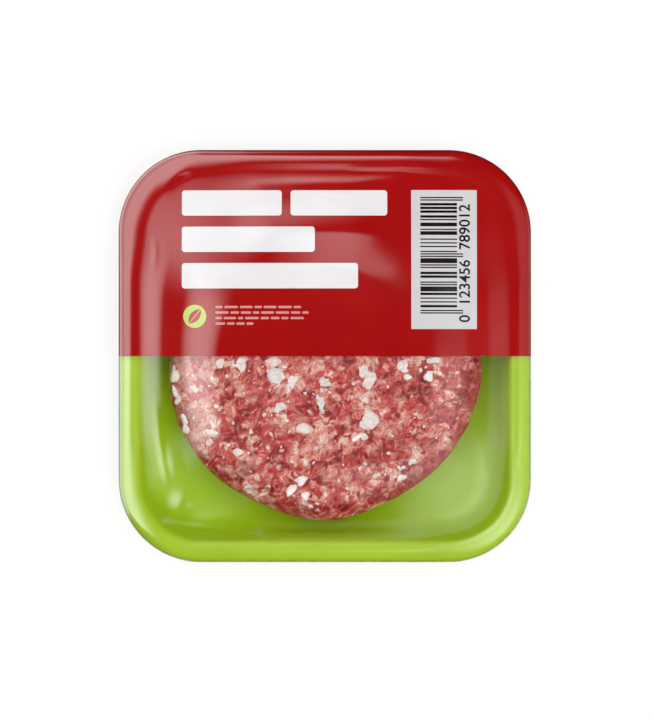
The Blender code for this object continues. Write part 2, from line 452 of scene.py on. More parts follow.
def outline_unevenness(angle):
    """How far the pressed edge stands out or in at this direction, as a share."""
    return (
        0.011 * np.cos(2 * angle - 1.4)
        + 0.006 * np.cos(3 * angle + 1.3)
        + 0.011 * np.cos(5 * angle + 1.5)
        + 0.006 * np.cos(8 * angle + 0.25)
    )


SECTION_RADIUS, SECTION_HEIGHT = cutlet_section()
SECTION_LENGTH = np.append(
    0, np.cumsum(np.hypot(np.diff(SECTION_RADIUS), np.diff(SECTION_HEIGHT)))
)
CLOTH_RADIUS = SECTION_LENGTH[-1]
WIDEST_LENGTH = SECTION_LENGTH[np.argmax(SECTION_RADIUS)]
print("over the shoulder to the foot:", round(CLOTH_RADIUS / MM, 1), "mm")

# %% [markdown]
# ## Flakes of mince
#
# Mince is a pile of small flakes of meat and fat, pressed flat, where each lies over some and
# under others. Cells from a Voronoi texture would meet edge to edge like paving. Here every
# point of a jittered grid gets a flake with a size, a turn and a level of its own, and each
# place takes the flake with the highest level that reaches it. The same flakes must shape the
# mesh as well as colour it, so they are worked out in numpy.

# %% Flakes that lie over each other
def flakes(x, y, size, seed):
    """The flake on top at each place, and what lies just below it.

    Gives a random number from 0 to 1 for the flake and for the one below, how much of the
    top one there is at its soft edge, how high it lies, and the turn of its fibres.
    """
    table = np.random.default_rng(seed).uniform(0, 1, (7, 128, 128))
    u, v = x / size, y / size
    column, row = np.floor(u).astype(int), np.floor(v).astype(int)
    level, below_level = np.full((2,) + u.shape, -1.0)
    pick, below, turn, cover = np.full((4,) + u.shape, 0.45)
    for step_u in range(-2, 3):
        for step_v in range(-2, 3):
            cell = table[:, (column + step_u) % 128, (row + step_v) % 128]
            shift_u, shift_v, own_level, own_turn, longness, bigness, own_pick = cell
            from_u, from_v = u - column - step_u - shift_u, v - row - step_v - shift_v
            own_turn = own_turn * math.pi
            along = from_u * np.cos(own_turn) + from_v * np.sin(own_turn)
            across = from_v * np.cos(own_turn) - from_u * np.sin(own_turn)
            reach = (abs(along / (1 + 0.9 * longness)) ** 2.6 + abs(across) ** 2.6) ** (1 / 2.6)
            reach = reach / (0.40 + 0.60 * bigness ** 2)
            above = (reach < 1) & (own_level > level)
            between = (reach < 1) & ~above & (own_level > below_level)
            below = np.where(above, pick, np.where(between, own_pick, below))
            below_level = np.where(above, level, np.where(between, own_level, below_level))
            softness = 0.10 + 0.35 * (own_pick * 97 % 1)
            cover = np.where(above, smooth_step((1 - reach) / softness), cover)
            pick = np.where(above, own_pick, pick)
            turn = np.where(above, own_turn, turn)
            level = np.where(above, own_level, level)
    return pick, below, cover, level, turn


def fibres(x, y, turn, width, length, seed):
    """Noise drawn out along this turn, for the fibres within a flake."""
    along = x * np.cos(turn) + y * np.sin(turn)
    across = y * np.cos(turn) - x * np.sin(turn) + 37 * MM * turn
    return soft_noise(along * width / length, across, width, seed)


def drawn_lines(x, y, number, seed, longest, width):
    """1 on short, nearly straight lines scattered over the cutlet, and 0 away from them."""
    random = np.random.default_rng(seed)
    drawn = np.zeros(x.shape)
    for _ in range(number):
        centre_x, centre_y = random.uniform(-CLOTH_RADIUS, CLOTH_RADIUS, 2)
        turn = random.uniform(0, math.pi)
        half = random.uniform(0.3, 1) * longest / 2
        bend = random.uniform(-0.12, 0.12) / half
        near = (abs(x - centre_x) < half) & (abs(y - centre_y) < half)
        from_x, from_y = x[near] - centre_x, y[near] - centre_y
        along = from_x * math.cos(turn) + from_y * math.sin(turn)
        across = from_y * math.cos(turn) - from_x * math.sin(turn) + bend * along ** 2
        line = 1 - smooth_step(abs(across) / (width * random.uniform(0.6, 1.2)))
        line = line * (1 - smooth_step(abs(along) / half))
        drawn[near] = np.maximum(drawn[near], line)
    return drawn


# %% [markdown]
# ## Colours of mince
#
# Raw mince isn't one red. Lean meat runs from deep red in the gaps to a rosy pink where it
# is smeared, fat is cream where it is worked in and nearly white where a piece stayed whole,
# and fine pale fibres run across it all. The colours are built up in that order, like layers
# of paint, and each layer says how much it covers at every place. Some layers are painted
# shade: dark lines in the creases, gashes and cracks, a darker edge and a darker right side.
# A thin painted highlight runs along the widest line and, with the fat there, a painted
# reflection lightens the left. The same layers raise or sink the surface a little, so that
# colour and relief belong together.

# %% Layers of colour
def screen_colours(*colours):
    """Rows of light values for colours picked as 0 to 255 on a screen."""
    return np.array([linear(*colour) for colour in colours])


MEAT = screen_colours(
    (130, 4, 10), (158, 20, 24), (178, 42, 42), (191, 60, 55), (198, 84, 77),
    (203, 110, 99), (212, 138, 125), (221, 168, 153), (230, 200, 190),
)
DEEP_RED = screen_colours((132, 4, 10))[0]
PALE_FIBRE = screen_colours((234, 190, 178))[0]
SOFT_FAT = screen_colours((224, 184, 172))[0]
REDDER = np.array([0.06, -0.26, -0.24])
YELLOWER = np.array([0.0, 0.06, -0.10])
FLAKE_LAYERS = [
    # size in millimetres, share of the flakes that are there, how much they cover, seed
    (4.5, 1.0, 1.0, 21),
    (2.7, 0.62, 0.9, 22),
    (1.5, 0.42, 0.85, 23),
]


def from_palette(palette, pick):
    """The palette's colour at this place from 0 to 1, blended with the next."""
    place = np.clip(pick, 0, 0.999) * (len(palette) - 1)
    lower = place.astype(int)
    share = (place - lower)[:, None]
    return palette[lower] * (1 - share) + palette[lower + 1] * share


def paint_over(colour, layer, cover):
    """The colour with another laid over it, where cover says how much of it shows."""
    return colour * (1 - cover[:, None]) + layer * cover[:, None]


def wander(x, y, size, reach, seed):
    """Places moved about a little, so that what is drawn on them gets uneven outlines."""
    return x + soft_noise(x, y, size, seed) * reach, y + soft_noise(x, y, size, seed + 1) * reach


SHADED_GASHES = [
    # middle x and y, length and width in millimetres, turn in degrees, how dark
    (18.4, -26.6, 13.0, 1.3, 52, 1.0), (-17.5, -49.0, 11.0, 2.2, 35, 0.8),
    (-7.0, -54.5, 7.0, 1.6, -10, 1.0), (17.0, -51.0, 14.0, 3.0, 20, 0.75),
    (20.0, -35.5, 9.0, 5.0, 60, 0.55), (24.5, -12.0, 11.0, 4.0, 25, 0.6),
    (7.5, -5.0, 8.0, 0.8, 41, 0.9), (-6.0, -14.0, 9.0, 3.4, 70, 0.45),
    (-28.0, -18.0, 10.0, 4.0, 120, 0.45), (38.0, -20.0, 10.0, 3.0, 60, 0.5),
    (3.0, -38.0, 10.0, 3.0, 10, 0.45), (-14.0, -33.0, 8.0, 3.4, 140, 0.45),
]


def shaded_gashes(x, y):
    """How much of the deep red, and of the painted shade in the hollow, shows where the meat lies open.
    """
    open_meat_and_shade = np.zeros(x.shape)
    y = y + CUTLET_CENTRE_Y
    for middle_x, middle_y, length, width, turn, depth in SHADED_GASHES:
        from_x, from_y, turn = x - middle_x * MM, y - middle_y * MM, math.radians(turn)
        along = (from_x * math.cos(turn) + from_y * math.sin(turn)) / (length * MM / 2)
        across = (from_y * math.cos(turn) - from_x * math.sin(turn)) / (width * MM / 2)
        shape = 1 - smooth_step(along ** 2 + across ** 2)
        open_meat_and_shade = np.maximum(open_meat_and_shade, depth * shape)
    return open_meat_and_shade


def mince(x, y):
    """Colour, relief in metres and turn of the fibres at these places on the cloth."""
    bent_x, bent_y = wander(x, y, 2.4 * MM, 0.45 * MM, 11)
    bent_x, bent_y = wander(bent_x, bent_y, 0.9 * MM, 0.22 * MM, 13)
    rough = soft_noise(x, y, 0.6 * MM, 15)

    # Each layer of flakes lies over the one before, from large to small.
    pale, fibrous = np.full((2,) + x.shape, 0.5)
    turn, relief, redder, yellower, outline = np.zeros((5,) + x.shape)
    for size, share, strength, seed in FLAKE_LAYERS:
        pick, below, cover, level, own_turn = flakes(bent_x, bent_y, size * MM, seed)
        there = (pick * 13 % 1 < share) * cover * strength
        pale = pale + there * (pick - pale)
        fibrous = fibrous + there * (smooth_step((0.9 - pick) / 0.35) - fibrous)
        redder = redder + there * ((pick * 57 % 1) - 0.5 - redder)
        yellower = yellower + there * ((pick * 31 % 1) - 0.5 - yellower)
        turn = np.where(there > 0.4, own_turn, turn)
        relief = relief + 0.025 * MM * size * there * (1 + level)
        # Some flakes get a thin dark line just inside their border: painted shade of the crease.
        shaded_crease = (pick * 71 % 1 < 0.35) * (cover > 0.02) * (1 - smooth_step(abs(cover - 0.3) / 0.35))
        outline = np.maximum(outline * (1 - there), shaded_crease * min(1, share + 0.2))
    pale = pale + 0.10 * soft_noise(x, y, 1.3 * MM, 17) + 0.05 * rough
    pale = pale + 0.11 * soft_noise(x, y, 7.0 * MM, 16)

    # The colour is painted a little darker on the right and towards the front: painted shade,
    # away from the light and the film's sheen on the left.
    pale = pale - 0.06 * smooth_step(((x - 0.7 * y) / MM + 5) / 45)
    colour = from_palette(MEAT, 0.5 + (pale - 0.52) * 1.12)
    colour = colour * (1 + redder[:, None] * REDDER + yellower[:, None] * YELLOWER)

    # Fibres run along each flake, fine ones and coarse ones together.
    fine = fibres(x, y, turn, 0.50 * MM, 3.5 * MM, 25)
    coarse = fibres(x, y, turn, 0.9 * MM, 5.0 * MM, 26)
    weave = (0.35 + 0.65 * fibrous) * (0.7 * fine + 0.5 * coarse)
    colour = paint_over(colour, PALE_FIBRE, 0.28 * smooth_step((weave - 0.08) / 0.6))
    colour = paint_over(colour, DEEP_RED, 0.26 * smooth_step((-weave - 0.10) / 0.6))
    # The flakes' outlines are painted dark, as painted shade in the creases between them.
    colour = paint_over(colour, DEEP_RED, 0.48 * outline)
    relief = relief + 0.06 * MM * weave - 0.08 * MM * outline

    # Smears of soft fat, pressed over the flakes. On the left they spread wider and paler:
    # partly fat, partly a painted reflection of the film's sheen.
    fat_and_sheen_left = smooth_step((-x / MM - 36) / 18) * smooth_step((y / MM + 44) / 20)
    smear = soft_noise(x, y, 4.2 * MM, 58) + 0.5 * soft_noise(x, y, 1.6 * MM, 59) + 0.9 * fat_and_sheen_left
    smear = smooth_step((smear - 0.36) / 0.8)
    colour = paint_over(colour, SOFT_FAT, 0.42 * smear)

    # Towards its widest line, where the shoulder turns away from the light, the edge is painted
    # darker as painted shade, and a thin painted highlight runs along the widest line.
    to_widest = (np.hypot(x, y) - WIDEST_LENGTH) / MM
    edge = smooth_step((to_widest + 13) / 9) * smooth_step(0.6 + 1.3 * soft_noise(x, y, 5 * MM, 55))
    colour = paint_over(colour, DEEP_RED * 1.3, 0.62 * edge)
    rim_highlight = (1 - smooth_step(abs(to_widest + 0.1) / 0.5)) * smooth_step(0.6 + soft_noise(x, y, 4 * MM, 56))
    colour = paint_over(colour, PALE_FIBRE, 0.4 * rim_highlight)

    # Gashes, where the meat lies open: the deep red of the inside, and painted shade in the hollow.
    open_meat_and_shade = shaded_gashes(bent_x, bent_y) * smooth_step(0.8 + 0.7 * rough)
    colour = paint_over(colour, DEEP_RED * 1.25, open_meat_and_shade)
    relief = relief - 0.12 * MM * open_meat_and_shade

    # Pale threads of sinew on top, and thin cracks painted dark: painted shade down in the crevices.
    threads = drawn_lines(x, y, 520, 71, 5.0 * MM, 0.34 * MM)
    colour = paint_over(colour, PALE_FIBRE, 0.75 * threads)
    shaded_cracks = drawn_lines(x, y, 190, 72, 12.0 * MM, 0.36 * MM) * smooth_step((0.6 + rough) / 0.5)
    colour = paint_over(colour, DEEP_RED * 0.8, 0.85 * shaded_cracks)
    relief = relief + 0.10 * MM * threads - 0.18 * MM * shaded_cracks
    return colour, relief, turn


# %% [markdown]
# ## The cutlet's mesh
#
# The grid is laid out in the cloth's own measure, cut to a round, folded over the section,
# and lifted by the relief. What lies past the foot is trimmed and pulled to the foot's line,
# and one face closes the underside.

# %% Cutlet
GRID_STEP = 0.345 * MM
HIDDEN_STEP = 1.5 * MM
HIDDEN_FROM = 5.0 * MM
HIGHEST_RELIEF = 0.62 * MM


def cloth_grid():
    """The rows and columns of the cloth, about the cutlet's middle."""
    half = CLOTH_RADIUS + GRID_STEP
    columns = np.arange(-half, half, GRID_STEP)
    rows = np.arange(-half, HIDDEN_FROM, GRID_STEP)
    hidden_rows = np.arange(rows[-1] + HIDDEN_STEP, half + HIDDEN_STEP, HIDDEN_STEP)
    return np.meshgrid(columns, np.concatenate([rows, hidden_rows]))


def fold_over(u, v, lift):
    """Places on the cloth as points of the cutlet, lifted off its surface by this much."""
    length, angle = np.hypot(u, v), np.arctan2(v, u)
    radius = np.interp(length, SECTION_LENGTH, SECTION_RADIUS)
    height = np.interp(length, SECTION_LENGTH, SECTION_HEIGHT)
    ahead = np.interp(length + 0.2 * MM, SECTION_LENGTH, SECTION_RADIUS)
    below = np.interp(length + 0.2 * MM, SECTION_LENGTH, SECTION_HEIGHT)
    run, fall = ahead - radius, height - below
    whole = np.maximum(np.hypot(run, fall), 1e-9)
    radius = radius * (1 + outline_unevenness(angle)) + lift * fall / whole
    height = height + lift * run / whole
    return np.stack(
        [radius * np.cos(angle), CUTLET_CENTRE_Y + radius * np.sin(angle), height], axis=-1
    )


grid_u, grid_v = cloth_grid()
grid_shape = grid_u.shape
u, v = grid_u.ravel(), grid_v.ravel()
from_middle = np.hypot(u, v)
trim = np.minimum(1, CLOTH_RADIUS / np.maximum(from_middle, 1e-9))
u, v = u * trim, v * trim
colour, relief, turn = mince(u, v)
lumps = soft_noise(u, v, 8.0 * MM, 71) * 0.30 * MM + soft_noise(u, v, 3.4 * MM, 72) * 0.14 * MM
relief = np.minimum(relief + lumps - 0.05 * MM, HIGHEST_RELIEF)
near_foot = smooth_step((CLOTH_RADIUS - np.hypot(u, v)) / (5.0 * MM))
points = fold_over(u, v, relief * near_foot)

index = np.arange(len(u)).reshape(grid_shape)
quads = np.stack([index[:-1, :-1], index[:-1, 1:], index[1:, 1:], index[1:, :-1]], axis=-1)
quads = quads.reshape(-1, 4)
inside = from_middle < CLOTH_RADIUS
quads = quads[inside[quads].any(axis=1)]
used, new_index = np.unique(quads, return_inverse=True)
cutlet = mesh_object("raw_cutlet", points[used], new_index.reshape(quads.shape))

layer = cutlet.data.color_attributes.new("mince_colour", "FLOAT_COLOR", "POINT")
layer.data.foreach_set("color", np.hstack([colour[used], np.ones((len(used), 1))]).ravel())
grain = cutlet.data.attributes.new("fibre_turn", "FLOAT", "POINT")
grain.data.foreach_set("value", turn[used])
body = bmesh.new()
body.from_mesh(cutlet.data)
rim_edges = [edge for edge in body.edges if edge.is_boundary]
underside = bmesh.ops.contextual_create(body, geom=rim_edges)["faces"]
bmesh.ops.poke(body, faces=underside)
bmesh.ops.recalc_face_normals(body, faces=body.faces)
body.to_mesh(cutlet.data)
body.free()
print("cutlet:", sum(len(f.vertices) - 2 for f in cutlet.data.polygons), "triangles")

# %% [markdown]
# ## Moist meat
#
# The mesh carries the flakes' colours, and the turn of the fibres in each. What is finer
# than its grid comes from the shader: a noise drawn out along that turn, which gives the
# fibres, and a fine bump, like their torn ends. The gaps between fibres are redder, not only
# darker, so the noise takes more from green and blue than from red. Raw meat is moist, so it
# keeps a low sheen.

# %% Mince material
mince_material, tree, surface = new_material("raw_mince")
flake_colour = add_node(tree, "VertexColor", {"layer_name": "mince_colour"}).outputs["Color"]
fibre_turn = add_node(tree, "Attribute", {"attribute_name": "fibre_turn"}).outputs["Fac"]
place = add_node(tree, "TexCoord").outputs["Object"]
turned = add_node(
    tree, "VectorRotate", {"rotation_type": "Z_AXIS", "invert": True}, Vector=place, Angle=fibre_turn
)
drawn_out = add_node(tree, "Mapping", Vector=turned.outputs["Vector"])
drawn_out.inputs["Scale"].default_value = (450, 1900, 900)
fine_fibres = add_node(tree, "TexNoise", Vector=drawn_out.outputs["Vector"], Scale=1.0, Detail=1.0)
shades = {}
for channel, darkest, lightest in (("X", 0.74, 1.26), ("Y", 0.36, 1.64), ("Z", 0.36, 1.64)):
    shade = add_node(tree, "MapRange", Value=fine_fibres.outputs["Fac"])
    shade.inputs["From Min"].default_value = 0.3
    shade.inputs["From Max"].default_value = 0.7
    shade.inputs["To Min"].default_value = darkest
    shade.inputs["To Max"].default_value = lightest
    shades[channel] = shade.outputs["Result"]
shades = add_node(tree, "CombineXYZ", **shades).outputs["Vector"]
tinted = add_node(tree, "VectorMath", {"operation": "MULTIPLY"})
tree.links.new(shades, tinted.inputs[1])
tree.links.new(flake_colour, tinted.inputs[0])
tree.links.new(tinted.outputs["Vector"], surface.inputs["Base Color"])
tree.links.new(fine_bump(tree, 1600.0, 0.10 * MM, 0.4), surface.inputs["Normal"])
surface.inputs["Roughness"].default_value = 0.42
cutlet.data.materials.append(mince_material)
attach(cutlet, "root")
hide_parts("cutlet")

# %% [markdown]
# ## Whole pieces of fat
#
# The largest pieces of fat stand a little proud of the mince and have shapes of their own:
# cut on several sides, with rounded edges. Each starts as a ball of small triangles, and
# every point is drawn in to the nearest of a few random cuts. They are sunk into the meat,
# which stains them at the foot, and joined into one mesh. The large ones are listed one by
# one, because they give the cutlet its face. The small ones are scattered.

# %% Fat pieces
FAT_HEIGHT = 2.2 * MM
FAT_SPREAD = 1.35
SMALL_BITS = 120
FAT_PIECES = [
    # middle x and y, length and width, turn in degrees, all but the last in millimetres
    (-37.8, -2.5, 4.6, 3.4, 70), (-32.0, -3.6, 7.0, 6.0, 60), (-18.1, -1.7, 5.6, 3.6, 10),
    (-17.0, -7.2, 6.0, 5.4, 20), (-11.2, -9.0, 6.2, 3.6, 80), (-6.8, -5.8, 3.2, 1.9, 50),
    (-47.2, -11.9, 3.4, 2.6, 0), (-53.6, -7.2, 4.4, 3.6, 80), (-53.0, -15.2, 4.2, 2.2, 70),
    (14.3, -5.4, 4.8, 4.2, 60), (16.5, -8.7, 6.0, 4.2, 60), (28.8, -3.9, 5.0, 4.4, 0),
    (30.0, -7.6, 3.2, 2.0, 0), (39.4, -1.7, 4.9, 2.2, 5), (37.6, -6.8, 3.8, 2.9, 100),
    (15.7, -23.2, 7.6, 6.0, 25), (11.6, -29.4, 4.4, 2.2, 40), (14.4, -28.8, 3.0, 2.2, 100),
    (-11.9, -47.6, 5.6, 3.0, 50), (-8.3, -45.1, 4.2, 3.0, 20), (-6.8, -50.2, 4.0, 3.0, -30),
    (31.4, -38.1, 3.2, 2.4, 20), (27.6, -44.0, 3.2, 2.6, 30), (0.3, -9.6, 4.2, 3.6, 0),
    (-1.3, -16.7, 7.6, 3.2, 95), (-7.6, -26.6, 5.0, 3.6, 20), (-31.0, -35.0, 3.6, 3.2, 0),
    (-54.6, -6.5, 6.0, 2.8, 88), (-54.0, -13.2, 5.0, 2.4, 97), (-50.6, -23.5, 4.4, 2.6, 110),
    (-40.0, -27.5, 5.0, 3.4, -40), (-50.0, -26.5, 4.0, 2.6, 100), (-16.4, -18.6, 4.4, 3.8, 30),
]


def cutlet_height(x, y):
    """How high the cutlet stands at this place, seen from above, without its relief."""
    from_centre = y - CUTLET_CENTRE_Y
    radius = math.hypot(x, from_centre) / (1 + outline_unevenness(math.atan2(from_centre, x)))
    upper = SECTION_HEIGHT > (CUTLET_TOP + CUTLET_BOTTOM) / 2
    return float(np.interp(radius, SECTION_RADIUS[upper], SECTION_HEIGHT[upper]))


def fat_piece(bits, x, y, length, width, turn, sunk, detail, random):
    """Add one lump of fat to the bits, of this size and turn, sunk into the meat."""
    ball = bmesh.ops.create_icosphere(bits, subdivisions=detail, radius=1.0)["verts"]
    cuts = random.normal(size=(9, 3)) * (1.0, 1.0, 0.6)
    cuts /= np.linalg.norm(cuts, axis=1)[:, None]
    depths = random.uniform(0.55, 0.95, 9)
    waves = random.normal(size=(4, 3)) * 3.5
    shade = from_palette(FAT, random.uniform(size=1))[0]
    height = min(FAT_HEIGHT, 0.8 * width)
    ground = cutlet_height(x, y)
    for point in ball:
        facing = cuts @ np.array(point.co)
        limits = np.where(facing > 0.05, depths / np.maximum(facing, 0.05), 9.0)
        # A soft minimum of all the limits, which leaves rounded edges between the cuts.
        size = -np.log(np.exp(-limits * 14).sum() + math.exp(-14)) / 14
        uneven = np.sin(waves @ np.array(point.co)).sum()
        place = point.co * size * (1 + 0.05 * uneven)
        a, b = place.x * length / 2, place.y * width / 2
        point.co = Vector(
            (
                x + a * math.cos(turn) - b * math.sin(turn),
                y + a * math.sin(turn) + b * math.cos(turn),
                ground + place.z * height / 2 + sunk,
            )
        )
        point.co.z = min(point.co.z, CUTLET_TOP + HIGHEST_RELIEF)
        # Towards its foot each piece is stained by the meat.
        stain = 0.45 * smooth_step(0.25 - 1.6 * place.z) + 0.04 * uneven
        fat_colours.append((*(shade + (PALE_RED - shade) * stain), 1.0))


FAT = screen_colours((218, 214, 214), (234, 223, 216), (228, 210, 204), (243, 240, 238))
PALE_RED = screen_colours((206, 128, 116))[0]
fat_colours = []
bits = bmesh.new()
random = np.random.default_rng(81)
for x, y, length, width, turn in FAT_PIECES:
    size = (length * FAT_SPREAD * MM, width * FAT_SPREAD * MM)
    fat_piece(bits, x * MM, y * MM, *size, math.radians(turn), -0.25 * MM, 3, random)
for _ in range(SMALL_BITS):
    reach, angle = 52 * MM * math.sqrt(random.uniform()), random.uniform(-math.pi, 0.08)
    x, y = reach * math.cos(angle), CUTLET_CENTRE_Y + reach * math.sin(angle)
    length = random.uniform(1.0, 2.6) * MM
    size = (length, length * random.uniform(0.45, 0.9))
    fat_piece(bits, x, y, *size, random.uniform(0, math.pi), -0.15 * MM, 2, random)
fat_mesh = bpy.data.meshes.new("fat_pieces")
bits.to_mesh(fat_mesh)
bits.free()
fat_mesh.shade_smooth()
fat_pieces = bpy.data.objects.new("fat_pieces", fat_mesh)
bpy.context.scene.collection.objects.link(fat_pieces)
fat_material, tree, surface = new_material("white_fat")
layer = fat_mesh.color_attributes.new("fat_colour", "FLOAT_COLOR", "POINT")
layer.data.foreach_set("color", np.array(fat_colours).ravel())
piece_colour = add_node(tree, "VertexColor", {"layer_name": "fat_colour"}).outputs["Color"]
place = add_node(tree, "TexCoord").outputs["Object"]
mottle = add_node(tree, "TexNoise", Vector=place, Scale=900.0, Detail=3.0).outputs["Fac"]
shade = add_node(tree, "MapRange", Value=mottle)
shade.inputs["From Min"].default_value = 0.3
shade.inputs["From Max"].default_value = 0.7
shade.inputs["To Min"].default_value = 0.80
shade.inputs["To Max"].default_value = 1.12
tinted = add_node(tree, "VectorMath", {"operation": "SCALE"}, Scale=shade.outputs["Result"])
tree.links.new(piece_colour, tinted.inputs[0])
tree.links.new(tinted.outputs["Vector"], surface.inputs["Base Color"])
tree.links.new(fine_bump(tree, 1200.0, 0.1 * MM, 0.5), surface.inputs["Normal"])
surface.inputs["Roughness"].default_value = 0.4
fat_mesh.materials.append(fat_material)
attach(fat_pieces, "root")
print("fat:", len(FAT_PIECES), "pieces,", len(fat_mesh.polygons), "triangles")

# %% [markdown]
# ## The film's shape
#
# The film is one stretched sheet. From the middle of the pack it lies level on the cutlet,
# comes down over the cutlet's shoulder, dips, comes down again to the tray's lip, rolls
# round the lip and runs under the foot. Cloth simulation could stretch it, but the bends
# are few and each has its own place, so a section with named stretches is quicker and surer.
# Along the sides the film comes down in two swells. At the corners it has further to go and
# comes down in one, and there its roll over the lip is wider. On the right it is slacker,
# and its swells are softer. Last come slow waves, and a few low folds, each of them a soft
# ridge along a line.

# %% Film surface
LIP_ROLL = 5.0 * MM
CORNER_LIP_GROWTH = 3.0 * MM
LIP_LEVEL_END = 7.6 * MM


def film_rise(share):
    """How far the film has climbed from the lip to the top, at this share of the way."""
    towards_back = smooth_step((np.sin(DIRECTIONS) - 0.6) / 0.3)
    shoulder = 0.47 - 0.25 * towards_back
    swells = 0.27 * smooth_step(share / 0.27) + 0.48 * smooth_step((share - shoulder) / 0.45)
    slack = 0.35 * smooth_step((np.cos(DIRECTIONS) - 0.2) / 0.5)
    sides = swells + 0.25 * share
    sides = sides + slack * (smooth_step(share) * 0.3 + share * 0.7 - sides)
    corners = 0.55 * math.sin(share * math.pi / 2) + 0.45 * smooth_step(share)
    return sides + CORNER_SHARE * (corners - sides)


def film_rings():
    """The film's rings, from under the foot to the middle of the top."""
    rings = [square_ring(inset * MM, 0.0) for inset in (34, 26, 18.4)]
    rings += [square_ring(17.2 * MM, 0.3 * MM), square_ring(16.2 * MM, 1.1 * MM)]
    for share in np.linspace(0.1, 0.9, 8):
        inset = 16.2 * MM + (0.67 - 16.2) * MM * share
        rings.append(square_ring(inset, (1.1 + (11.65 - 1.1) * share) * MM))
    lip_width = LIP_ROLL + CORNER_LIP_GROWTH * CORNER_SHARE
    lip_rise = LIP_HEIGHT - WIDEST_HEIGHT
    for turn in np.radians(np.linspace(-30, 90, 22)):
        width = LIP_ROLL if turn < 0 else lip_width
        inset = width * (1 - math.cos(turn))
        rings.append(square_ring(inset, WIDEST_HEIGHT + lip_rise * math.sin(turn)))
    lip_end = LIP_LEVEL_END + CORNER_LIP_GROWTH * CORNER_SHARE
    for share in (0.35, 0.7):
        rings.append(square_ring(lip_width + (lip_end - lip_width) * share, LIP_HEIGHT))
    lip_ring = square_ring(lip_end, LIP_HEIGHT)
    round_x = PLATEAU_RADIUS * np.cos(DIRECTIONS)
    round_y = CUTLET_CENTRE_Y + PLATEAU_RADIUS * np.sin(DIRECTIONS)
    plateau_ring = np.stack([round_x, round_y, np.full(len(DIRECTIONS), LIP_HEIGHT)], axis=1)
    for share in np.linspace(0, 1, 56):
        ring = lip_ring + (plateau_ring - lip_ring) * share
        ring[:, 2] += (TOP_HEIGHT - LIP_HEIGHT) * film_rise(share)
        rings.append(ring)
    middle = np.array([0, CUTLET_CENTRE_Y, TOP_HEIGHT])
    for share in np.linspace(0.04, 0.97, 20):
        ring = plateau_ring + (middle - plateau_ring) * share
        ring[:, 2] = TOP_HEIGHT
        rings.append(ring)
    return rings


FILM_FOLDS = [
    # (width and height in millimetres, then the places it runs through, x and y)
    (0.6, 0.08, (-68.5, -19.0), (-68.4, -32.0), (-68.0, -44.0)),
    (1.1, 0.30, (-61.6, -15.0), (-60.2, -28.0), (-58.6, -39.0), (-56.6, -47.0)),
    (2.4, 0.40, (-56.5, -33.0), (-54.8, -39.0), (-53.6, -44.0)),
    (3.2, 0.85, (-52.8, -52.0), (-51.6, -53.2), (-50.6, -53.8)),
    (1.9, 0.95, (-59.0, -60.0), (-50.0, -62.2), (-38.0, -63.4), (-22.0, -64.8)),
    (1.6, 0.35, (68.3, -34.0), (67.6, -50.0), (62.4, -60.6), (52.5, -66.4), (37.0, -68.2)),
    (1.0, 0.10, (-62.0, 30.0), (-61.4, 37.0), (-61.8, 43.0)),
    (1.0, 0.10, (7.0, 68.0), (27.0, 68.3), (47.0, 68.1)),
    (1.6, 0.30, (-28.0, 62.4), (-8.0, 62.8), (10.0, 63.0), (30.0, 64.4)),
    (2.3, 0.30, (-58.5, 61.0), (-54.5, 65.2), (-50.5, 68.2)),
]


def fold_line(places):
    """Close points along a smooth line through a fold's places, each with its strength."""
    places = np.array(places) * MM
    steps = np.linspace(0, len(places) - 1, 50)
    x = np.interp(steps, range(len(places)), places[:, 0])
    y = np.interp(steps, range(len(places)), places[:, 1])
    soften = np.ones(9) / 9
    x, y = (np.convolve(np.pad(v, 4, mode="edge"), soften, mode="valid") for v in (x, y))
    return x, y, np.sin(np.linspace(0, math.pi, 50)) ** 0.7


def film_unevenness(x, y):
    """The film's slow waves and its folds, in metres, at these places seen from above."""
    lift = soft_noise(x, y, 31 * MM, 4) * 0.10 * MM
    lift += soft_noise(x, y, 13 * MM, 5) * 0.03 * MM
    for width, height, *places in FILM_FOLDS:
        fold = np.zeros(x.shape)
        for fold_x, fold_y, strength in zip(*fold_line(places)):
            away = ((x - fold_x) ** 2 + (y - fold_y) ** 2) / (width * MM) ** 2
            fold = np.maximum(fold, strength * np.exp(-away))
        lift += fold * height * MM
    return lift


rings = film_rings()
film_points = np.concatenate(rings + [[[0, CUTLET_CENTRE_Y, TOP_HEIGHT]]])
on_top = smooth_step((film_points[:, 2] - 17.5 * MM) / (1.2 * MM))
film_points[:, 2] += on_top * film_unevenness(film_points[:, 0], film_points[:, 1])
film_faces = [tuple(f) for f in ring_faces(len(rings), len(DIRECTIONS))]
last_ring = (len(rings) - 1) * len(DIRECTIONS)
for here in range(len(DIRECTIONS)):
    after = (here + 1) % len(DIRECTIONS)
    film_faces.append((last_ring + here, last_ring + after, len(film_points) - 1))
print("film:", len(film_points), "points, top at", round(film_points[:, 2].max() / MM, 2), "mm")

# %% [markdown]
# ## Two halves of one film
#
# The print ends in a straight line across the middle of the pack. A texture could draw that
# line, but a cut in the mesh is sharper at any distance. So the film is built once and
# divided along the middle: the half at the back carries the ink, and the front one is clear.

